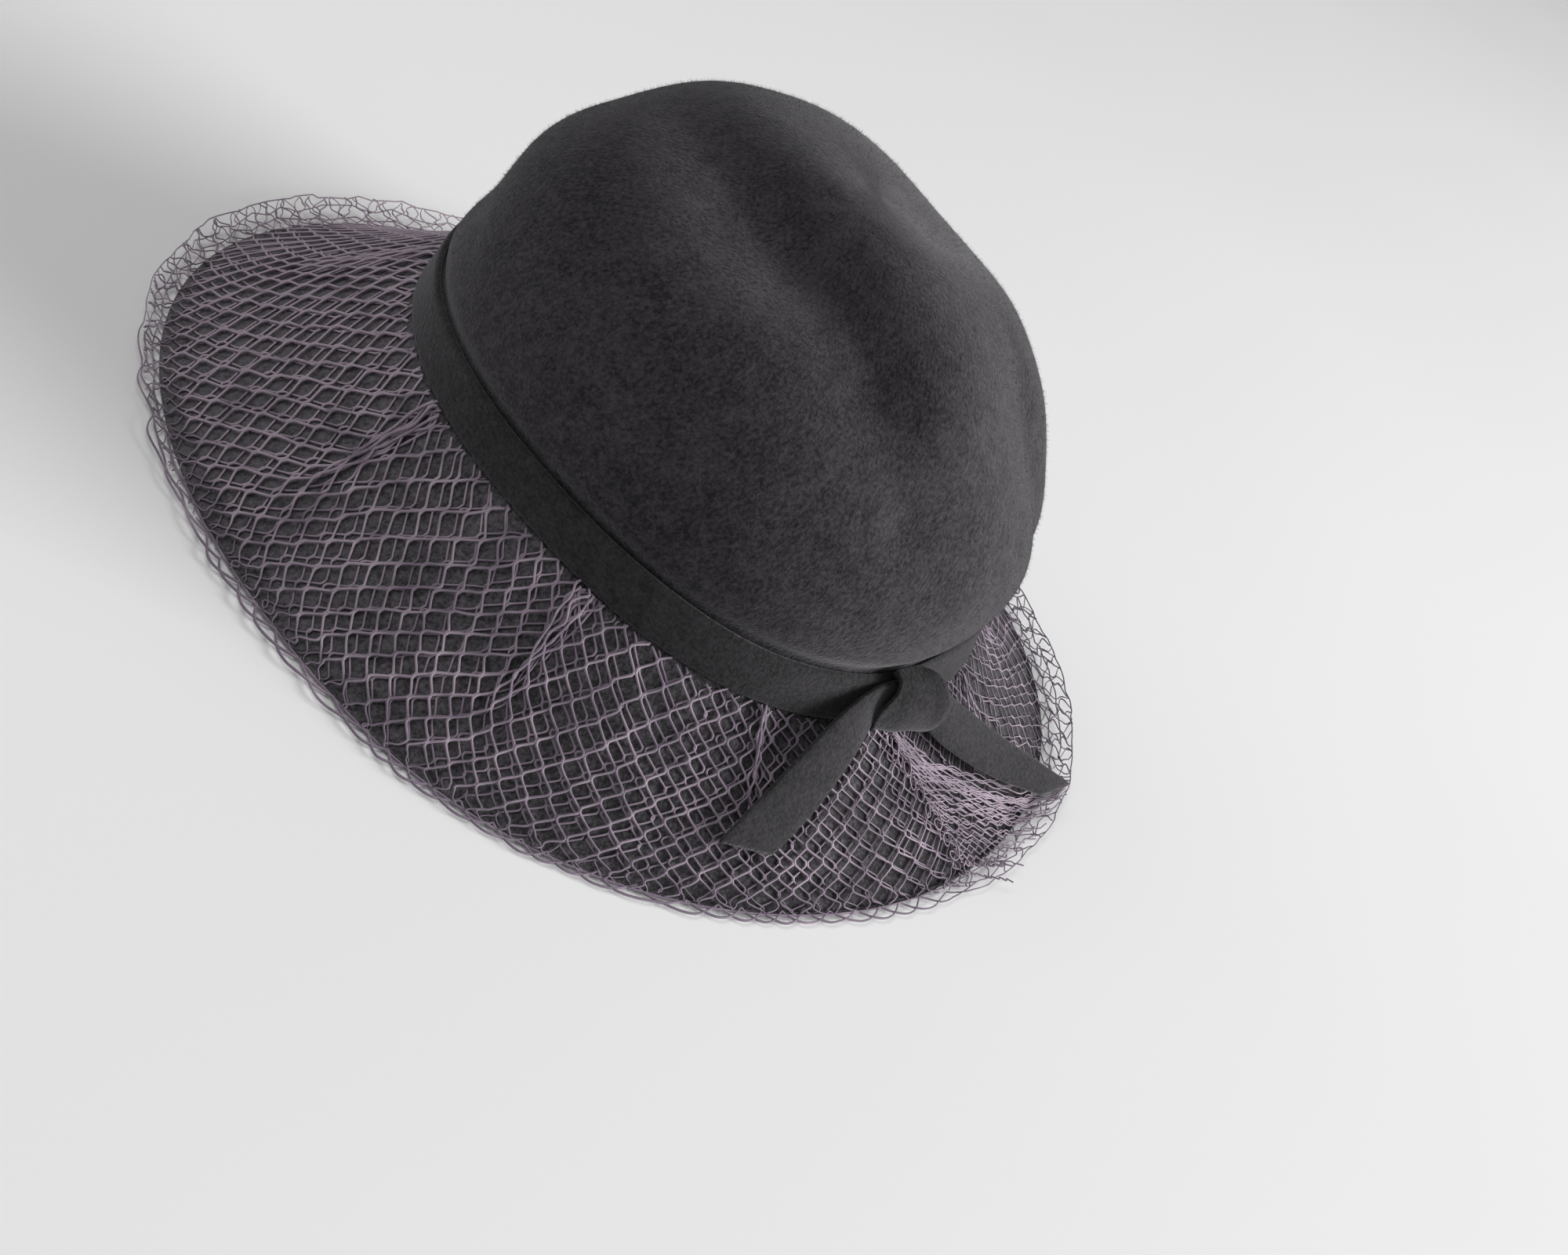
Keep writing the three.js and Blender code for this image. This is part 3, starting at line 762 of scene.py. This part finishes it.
def brim_piece(material):
    """Brim: top skin from the seam to the rim, a rounded rim, and the underside back to the seam."""
    around = np.arange(0, 360, RING_STEP)
    seam = SEAM_UP - GAP / (BAND_TOP - BAND_BOTTOM)
    wall_heading, wall_up = np.meshgrid(around, np.linspace(seam, WALL_FOOT, WALL_ROWS))
    heading, reach = np.meshgrid(around, np.linspace(0, 1, BRIM_ROWS))

    def skin(inset):
        return np.concatenate([wall_at(wall_heading, wall_up, inset), brim_at(heading, reach, inset)])

    top = skin(0)[:-1]
    under = skin(FELT)[:-1]
    lip_heading, angle = np.meshgrid(around, np.radians(RIM_ANGLES))
    x, y = rim_oval(lip_heading, RIM_ROUND * (np.cos(angle) - 1))
    lip = np.stack([x, y, RIM_ROUND * (1 + np.sin(angle))], -1)
    points = np.concatenate([top, lip, under[::-1]])
    faces = grid_faces(*points.shape[:2], True, True)[:, ::-1]
    return mesh_piece("felt_brim", points, faces, material, skin_nap(around, points, **BRIM_NAP))


def band_piece(material):
    """Band: a strip with rounded edges round the hat, its lip a little uneven."""
    around = np.arange(0, 360, RING_STEP)
    heading, up = np.meshgrid(around, column(BAND_SECTION, "up"))
    inset = np.broadcast_to(column(BAND_SECTION, "inset")[:, None], heading.shape) * STRIP_FELT
    lip = smooth(up, LIP_START, 1)
    points = band_face(heading, up, inset - lip * (LIP_OFF + waves("lip_off", heading)))
    points[..., 2] += lip * waves("lip_up", heading)
    nap = ring_nap(heading, up * (BAND_TOP - BAND_BOTTOM), 1.0, **BAND_NAP)
    nap[..., :2] /= NAP_STRETCH
    faces = grid_faces(*points.shape[:2], True, True)
    return mesh_piece("felt_band", points, faces, material, nap)


def bow_frame():
    """Origin and axes (left, out, up) of the bow on the band's face, level with the floor."""
    origin = band_face(np.array(KNOT_HEADING), 0.5, 0)
    ahead, behind = (np.array(head_oval(KNOT_HEADING + turn, 0)) for turn in (-BOW_TURN, BOW_TURN))
    left = np.append(unit(ahead - behind), 0)
    up = np.array([0, 0, 1.0])
    return origin, np.stack([left, np.cross(up, left), up])


def strip_piece(name, material, centre, along, across, facing, half_width, bend, slant):
    """Felt strip: a superellipse swept along its centre, bent across and sheared at its end.

    Towards its ends the strip runs thin, by the square root of the steps that are left.
    """
    angle = 2 * np.pi * (np.arange(STRIP_CORNERS) + 0.5) / STRIP_CORNERS
    side, face = (
        signed_power(wave(angle), power) for wave, power in zip((np.cos, np.sin), STRIP_POWERS))
    steps = len(centre)
    left_over = np.minimum(np.arange(steps), np.arange(steps)[::-1])
    thin = np.minimum(1, left_over / STRIP_TAPER) ** 0.5
    thick = face[None] * (STRIP_FELT / 2) * thin[:, None]
    reach = side[None] * half_width[:, None]
    shift = thick + bend(side[None])
    shear = slant[:, None] * side[None] / 2
    points = (
        centre[:, None] + reach[..., None] * across[:, None] + shift[..., None] * facing[:, None]
        + shear[..., None] * along[:, None])
    origin, axes = bow_frame()
    distance = np.linalg.norm(np.gradient(centre, axis=0), axis=1).cumsum()
    nap = np.stack(np.broadcast_arrays(distance[:, None] / NAP_STRETCH, reach, thick), -1)
    faces = grid_faces(steps, len(side), False, True)
    if np.sum(np.cross(across, facing) * along) < 0:
        faces = faces[:, ::-1]
    return mesh_piece(name, origin + points @ axes, faces, material, nap, weld=True)


def knot_piece(material):
    """Knot: a strap bent over the tails, its right edge curled out and its left edge tucked in."""
    place = np.linspace(0, len(KNOT_PATH) - 1, KNOT_STEPS)
    left, out, up, width, curl, tuck = curves(
        KNOT_PATH, place, "left", "out", "up", "width", "curl", "tuck")
    centre = np.stack([left, out, up], -1)
    along = unit(np.gradient(centre, axis=0) * [0, 1, 1])
    across = np.broadcast_to([-1.0, 0, 0], along.shape)
    facing = np.cross(across, along)

    def bend(side):
        return curl[:, None] * smooth(side, CURL_START, 1) - tuck[:, None] * smooth(-side, 0, 1)

    return strip_piece(
        "felt_bow_knot", material, centre, along, across, facing, width / 2, bend, 0 * width)


def tail_piece(name, table, slant, material):
    """Tail: a strip through its table's places, turned from the band's side to lie along the brim."""
    place = np.linspace(0, len(table) - 1, TAIL_STEPS)
    left, out, up, width, lean = curves(table, place, "left", "out", "up", "width", "lean")
    centre = np.stack([left, out, up], -1)
    along = unit(np.gradient(centre, axis=0))
    tilt = np.radians(lean)
    face = np.stack([0 * tilt, np.cos(tilt), np.sin(tilt)], -1)
    across = unit(np.cross(along, face))
    across *= np.sign(across[:, 2:])
    facing = np.cross(across, along)
    facing *= np.sign(np.sum(facing * face, -1, keepdims=True))
    share = place / place[-1]
    cup = TAIL_CUP * smooth(share, *CUP_RANGE)[:, None]

    def bend(side):
        return -cup * side ** 2

    return strip_piece(
        name, material, centre, along, across, facing, width / 2, bend,
        slant * smooth(share, SLANT_START, 1))


def fit_at(heading, key):
    """A column of the net's fit at any heading, straight between its rows."""
    return np.interp(heading % 360, column(NET_FIT, "heading"), column(NET_FIT, key))


def fold_past(heading):
    """How far the net's fold stands past the rim: its fit, uneven by waves along the rim."""
    return fit_at(heading, "past") + fit_at(heading, "ragged") * waves("fold", *rim_oval(heading, 0))


def close_fold(heading):
    """1 where the net's fold stays close to the rim, 0 where it stands well past it."""
    return 1 - smooth(fit_at(heading, "past"), *CLOSE_PAST)


def brim_run(heading):
    """Level distance from the brim's bend to its rim."""
    bend = brim_at(heading, np.zeros_like(heading), 0)
    return np.linalg.norm(bend[..., :2] - np.stack(rim_oval(heading, 0), -1), axis=-1)


def net_place(heading, inward, lift):
    """Point over the brim, inward millimetres from the net's fold and lifted off the felt."""
    past = fold_past(heading)
    reach = 1 - np.clip((inward - past) / brim_run(heading), 0, 1)
    over = brim_at(heading, reach, 0)
    x, y = rim_oval(heading, np.maximum(past - inward, 0))
    beyond = inward < past
    over[..., 0] = np.where(beyond, x, over[..., 0])
    over[..., 1] = np.where(beyond, y, over[..., 1])
    over[..., 2] += lift + fit_at(heading, "spring") * np.clip(1 - inward / past, 0, SPRING_END) ** 2
    over[..., 2] = np.maximum(over[..., 2], FLOOR_CLEARANCE)
    return over


def zigzag(phase):
    """Triangle wave of period 1 from -1 to 1, with its corners flattened into joined runs."""
    wave = 4 * np.abs(phase - np.floor(phase + 0.5)) - 1
    return np.clip(NET_JOINED * wave, -1, 1)


def brim_length(heading, reach):
    """Length round the brim at a reach, from the first of a row of headings to each of them."""
    line = brim_at(heading, np.full_like(heading, reach), 0)
    return np.concatenate([[0], np.linalg.norm(np.diff(line, axis=0), axis=1).cumsum()])


def net_headings():
    """Headings of the threads where they lie evenly, and at the band, with the cloth's own length.

    At the band a pleat takes up its share of the cloth that is too much there, spread as a bell
    curve, and the cloth between the pleats keeps its spacing.
    """
    start = NET_END_HEADING - NET_END_LAP / 2
    fine = np.linspace(start, start + 360 + NET_END_LAP, NET_STEPS)
    steps = np.diff(brim_length(fine, NET_EVEN_REACH)) / fit_at(fine[1:], "spread")
    along = np.concatenate([[0], steps.cumsum()])
    at_band = brim_length(fine, 0)
    cloth = np.linspace(0, along[-1], NET_STRANDS)
    even = np.interp(cloth, along, fine)

    excess = along[-1] - at_band[-1]
    shares = column(PLEATS, "share")
    taken = excess * shares / shares.sum()
    middle = pleat_middles(even, cloth)
    spread = column(PLEATS, "half")
    left_over = 1 - np.sum(taken / spread / np.pi ** 0.5 * bell(cloth[:, None] - middle, spread), 1)
    place = np.cumsum(left_over) * cloth[1]
    place = place - place[0] + (at_band[-1] - place[-1] + place[0]) / 2
    return even, np.interp(place, at_band, fine), cloth


def pleat_middles(even, cloth):
    """Where the pleats' middles lie along the cloth."""
    heading = even[0] + (column(PLEATS, "heading") - even[0]) % 360
    return np.interp(heading, even, cloth)


def under_end(heading):
    """How far in from the fold the upper layer's first threads are gathered up into its end.

    The end's outermost thread runs from its edge at the band straight to the rim at its far heading.
    """
    top = END_EDGE[0]
    share = (heading - top["heading"]) / (top["far"] - top["heading"])
    gathered = (share >= 0) & (share < 1)
    depth = fold_past(heading) + (1 - mix(top["reach"], 1, share)) * brim_run(heading)
    return np.where(gathered, depth, 0)


def net_layer(name, layer, material):
    """One layer of the net: zigzag threads from under the band out to the fold.

    A thread's heading goes from its place at the band to its even place, plus the zigzag and a
    slow drift of the cloth. The lower layer drifts a little apart from the upper one.
    """
    upper = layer == "upper"
    look = LAYERS[layer]
    seed = look["seed"]
    rng = np.random.default_rng(seed)
    even, at_band, cloth = net_headings()
    own, share = np.meshgrid(even, np.linspace(0, 1, NET_SAMPLES), indexing="ij")
    side = in_turn(NET_STRANDS)
    teeth = NET_TUCK + NET_TEETH * rng.uniform(0, 1, (NET_STRANDS, 1)) ** 2

    past, run = fold_past(own), brim_run(own)
    outer = np.maximum(under_end(own) if upper else 0, close_fold(own) * (past - RIM_STOP))
    inward = mix(outer, past + run - teeth, share)
    reach = 1 - np.clip((inward - past) / run, 0, 1)
    base = mix(at_band[:, None], own, smooth(reach, 0, NET_FREE_REACH))
    spacing = np.abs(np.gradient(base, axis=0))

    phase = inward / fit_at(own, "cell") * look["way"] + NET_PHASE
    phase = phase + net_waves("cells", own, inward)
    phase = phase + net_waves("layer_cells", own, inward, seed)
    swing = 0.5 * zigzag(phase) * side * spacing * NET_SWING
    slow = smooth(inward, *DRIFT_RANGE)
    drift = net_waves("drift", own, inward) * slow
    apart = 0 if upper else (LAYERS_APART + net_waves("apart", own, inward, seed)) * slow
    free = 1 - smooth(inward - past, *FREE_RANGE)
    tremble = net_waves("tremble", own, inward, seed)
    tremble = (tremble + free * net_waves("free", own, inward, seed)) * spacing
    heading = base + swing + drift + apart + tremble

    lift = look["lift"] + net_waves(look["ripples"], own, inward, seed)
    for pleat, middle in zip(PLEATS, pleat_middles(even, cloth)):
        ridge = bell(cloth[:, None] - middle, pleat["half"])
        ridge = ridge * (1 - smooth(reach, PLEAT_FULL, pleat["length"]))
        lift = lift + pleat["rise"] * ridge * look["pleats"]
    lift = lift * mix(NET_SLIP, 1, smooth(reach, 0, NET_SLIP_REACH))

    twist = NET_TWIST * THREAD * side * np.sin(2 * np.pi * phase)
    lift = mix(FOLD_LIFT, lift + twist, smooth(inward, 0, FOLD_PART))
    inward = np.minimum(inward, past) / past * fold_past(heading) + (1 - reach) * brim_run(heading)
    joined = smooth(np.abs(zigzag(phase)), JOINED_START, 1)
    thickness = THREAD * mix(fit_at(own, "plump"), NET_FREE_THREAD, free) * (1 + NET_KNOT * joined)
    points, faces = tubes(net_place(heading, inward, lift), thickness * look["thread"] / 2)
    return mesh_piece(name, points, faces, material)


def net_end(material):
    """The net's gathered end: threads packed side by side, and a row of loops along its edge.

    A thread runs straight from its place on the edge to the fold at the far heading, in a small
    zigzag. The loops' thread goes along the edge in circles drawn out into a line.
    """
    rng = np.random.default_rng(END_SEED)
    last = len(END_EDGE) - 1

    def edge(place):
        heading, reach, far = curves(END_EDGE, place, "heading", "reach", "far")
        return heading, (1 - reach) * brim_run(heading) + fold_past(heading), far

    one_each = (END_THREADS, 1)
    place = np.linspace(0, last, END_THREADS)[:, None] + rng.normal(0, END_SCATTER, one_each)
    near, near_inward, far = edge(np.clip(place, 0, last))
    run = np.linspace(0, 1, END_SAMPLES)[None]
    heading = mix(near, far, run)
    loose = END_LOOSE * smooth(place, last - LOOSE_ROWS, last) * rng.uniform(LOOSE_LEAST, 1, one_each)
    inward = mix(near_inward, fold_past(far) * rng.uniform(0, 1, one_each) - loose, run)
    inward = inward + END_SWING * in_turn(END_THREADS) * zigzag(END_CELLS * run) * smooth(run, 0, END_EASE)
    inward = inward + waves("packed", place * PACKED_ROW, run * PACKED_RUN)
    lift = END_LIFT + END_PILE * rng.uniform(0, 1, one_each) + 0 * inward
    packed, packed_faces = tubes(net_place(heading, inward, lift), END_THREAD / 2)

    turn = np.linspace(0, 2 * np.pi * END_LOOPS, LOOP_SAMPLES * END_LOOPS)[None]
    middle, inward, _ = edge(last * turn / turn.max())
    degree = np.pi / 180 * np.hypot(*rim_oval(middle, 0))
    heading = middle - END_LOOP * (0.5 + np.cos(turn)) / degree
    lift = END_LIFT + END_PILE * (0.5 + 0.5 * np.sin(turn / 2))
    ring, ring_faces = tubes(net_place(heading, inward + END_LOOP * np.sin(turn), lift), END_THREAD / 2)
    points = np.concatenate([packed.reshape(-1, 3), ring.reshape(-1, 3)])
    faces = np.concatenate([packed_faces, ring_faces + packed.size // 3])
    return mesh_piece("net_gathered_end", points, faces, material)


def tubes(path, radius):
    """Closed tubes along rows of points: rings square to the path, with a flat face at each end."""
    along = unit(np.gradient(path, axis=1))
    side = unit(np.cross(along, [0, 0, 1.0]))
    under = np.cross(along, side)
    corner = np.arange(TUBE_SIDES)
    angle = 2 * np.pi * corner / TUBE_SIDES + np.pi / TUBE_SIDES
    ring = np.cos(angle)[:, None] * side[:, :, None] + np.sin(angle)[:, None] * under[:, :, None]
    points = path[:, :, None] + np.broadcast_to(radius, path.shape[:2])[..., None, None] * ring
    threads, samples = path.shape[:2]
    ends = np.array([corner[::-1], (samples - 1) * TUBE_SIDES + corner])
    one = np.concatenate([grid_faces(samples, TUBE_SIDES, False, True), ends])
    faces = one[None] + (np.arange(threads) * samples * TUBE_SIDES)[:, None, None]
    return points, faces.reshape(-1, 4)


def edge_threads(material):
    """Threads along the net's fold: rings of straight runs between uneven corners, set inwards.

    Where the fold stays close to the rim, the outer rings go over into loops and the others to the rim.
    """
    rng = np.random.default_rng(EDGE_SEED)
    samples = EDGE_SAMPLES * EDGE_CORNERS
    heading = np.linspace(0, 360, samples, endpoint=False)
    corner_heading = np.linspace(0, 360, EDGE_CORNERS, endpoint=False)
    corners = corner_heading + rng.uniform(-EDGE_SCATTER, EDGE_SCATTER, (EDGE_RINGS, EDGE_CORNERS))
    uneven = rng.uniform(-1, 1, (EDGE_RINGS, EDGE_CORNERS))
    shift = np.stack([np.interp(heading, at, by, period=360) for at, by in zip(corners, uneven)])
    steps = np.arange(EDGE_RINGS)[:, None]
    past = fold_past(heading)
    spaced = past * EDGE_STEP * steps + np.where(steps == 0, FOLD_UNEVEN, EDGE_UNEVEN) * shift
    turn = np.radians(heading) * FOLD_LOOPS / 2 + np.pi * steps / LOOPED_RINGS + waves("loops", heading)
    looped = FOLD_LOOP * (1 - np.abs(np.sin(turn))) + FOLD_UNEVEN * shift
    looped = np.where(steps < LOOPED_RINGS, looped, past - RIM_STOP)
    close = close_fold(heading)
    inward = mix(spaced, looped, close)
    thickness = np.broadcast_to(THREAD * mix(NET_FREE_THREAD, fit_at(heading, "plump"), close), inward.shape)
    path = net_place(np.broadcast_to(heading, inward.shape), inward, FOLD_LIFT)
    points, _ = tubes(path, thickness / 2)
    ring = grid_faces(samples, TUBE_SIDES, True, True)
    faces = ring[None] + (steps * samples * TUBE_SIDES)[..., None]
    return mesh_piece("net_edge_threads", points, faces.reshape(-1, 4), material)


def camera():
    """Camera from its azimuth, elevation and roll: it looks along minus its back vector."""
    azimuth, elevation, roll = np.radians([CAMERA_AZIMUTH, CAMERA_ELEVATION, CAMERA_ROLL])
    back = np.array([
        np.sin(azimuth) * np.cos(elevation), -np.cos(azimuth) * np.cos(elevation), np.sin(elevation)])
    level = np.array([np.cos(azimuth), np.sin(azimuth), 0])
    upright = np.cross(back, level)
    right = np.cos(roll) * level + np.sin(roll) * upright
    top = np.cos(roll) * upright - np.sin(roll) * level
    made = new_object("camera", bpy.data.cameras.new("camera"))
    made.data.sensor_width = SENSOR_WIDTH
    made.data.lens = FOCAL_PIXELS * SENSOR_WIDTH / IMAGE_WIDTH
    turned = np.eye(4)
    turned[:3] = np.stack([right, top, back, np.array(CAMERA_PLACE) * MM], 1)
    made.matrix_world = Matrix(turned.tolist())
    bpy.context.scene.camera = made


def studio(material):
    """Pale round floor, a large soft key light, a weaker one overhead and an even sky."""
    angle = np.linspace(0, 2 * np.pi, FLOOR_CORNERS, endpoint=False)
    rim = np.stack([np.cos(angle), np.sin(angle), 0 * angle], -1) * FLOOR_RADIUS
    mesh = bpy.data.meshes.new("floor")
    mesh.from_pydata(rim.tolist(), [], [list(range(FLOOR_CORNERS))])
    mesh.materials.append(material)
    floor = new_object("floor", mesh)

    for row in LIGHTS:
        light = bpy.data.lights.new(row["name"], "AREA")
        light.energy, light.size = row["power"], row["size"]
        lamp = new_object(row["name"], light)
        lamp.location = row["place"]
        lamp.rotation_euler = (Vector(LIGHT_AIM) - lamp.location).to_track_quat("-Z", "Y").to_euler()

    world = bpy.data.worlds.new("sky")
    world.use_nodes = True
    node(world.node_tree, "Background", Color=linear("#ebebec"), Strength=SKY_STRENGTH)
    bpy.context.scene.world = world
    bpy.context.scene.view_settings.view_transform = "Standard"


camera()
body_felt = felt_material("charcoal_wool_felt", "#201e20", "#454245", sheen=0.35)
# Painted light: the brim is the crown's felt drawn paler, and painted paler towards the front and darker
# towards the back.
painted_light_brim_felt = felt_material("charcoal_brim_felt", "#353335", "#696669", sheen=0.12, painted_light_and_shade=0.45)
strip_felt = felt_material("charcoal_felt_strip", "#232223", "#3a383a", sheen=0.35)
net_cloth = net_material()

crown = crown_piece(body_felt)
brim = brim_piece(painted_light_brim_felt)
band = band_piece(strip_felt)
knot = knot_piece(strip_felt)
left_tail = tail_piece("felt_tail_left", LEFT_TAIL, LEFT_SLANT, strip_felt)
right_tail = tail_piece("felt_tail_right", RIGHT_TAIL, RIGHT_SLANT, strip_felt)
upper_net = net_layer("net_upper_layer", "upper", net_cloth)
lower_net = net_layer("net_lower_layer", "lower", net_cloth)
net_edge = edge_threads(net_cloth)
gathered_end = net_end(net_cloth)
pieces = [
    (crown, "felt", ["crown"]),
    (crown_fibres(fibre_material()), "felt", []),
    (brim, "felt", ["brim"]),
    (band, "strip_felt", ["band"]),
    (knot, "strip_felt", ["bow_knot"]),
    (left_tail, "strip_felt", ["bow_tail_left"]),
    (right_tail, "strip_felt", ["bow_tail_right"]),
    (upper_net, "net", ["net_veil"]),
    (lower_net, "net", []),
    (net_edge, "net", []),
    (gathered_end, "net", []),
]
for piece, slot, nodes in pieces:
    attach(piece, "root")
    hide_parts(*nodes)
studio(floor_material())
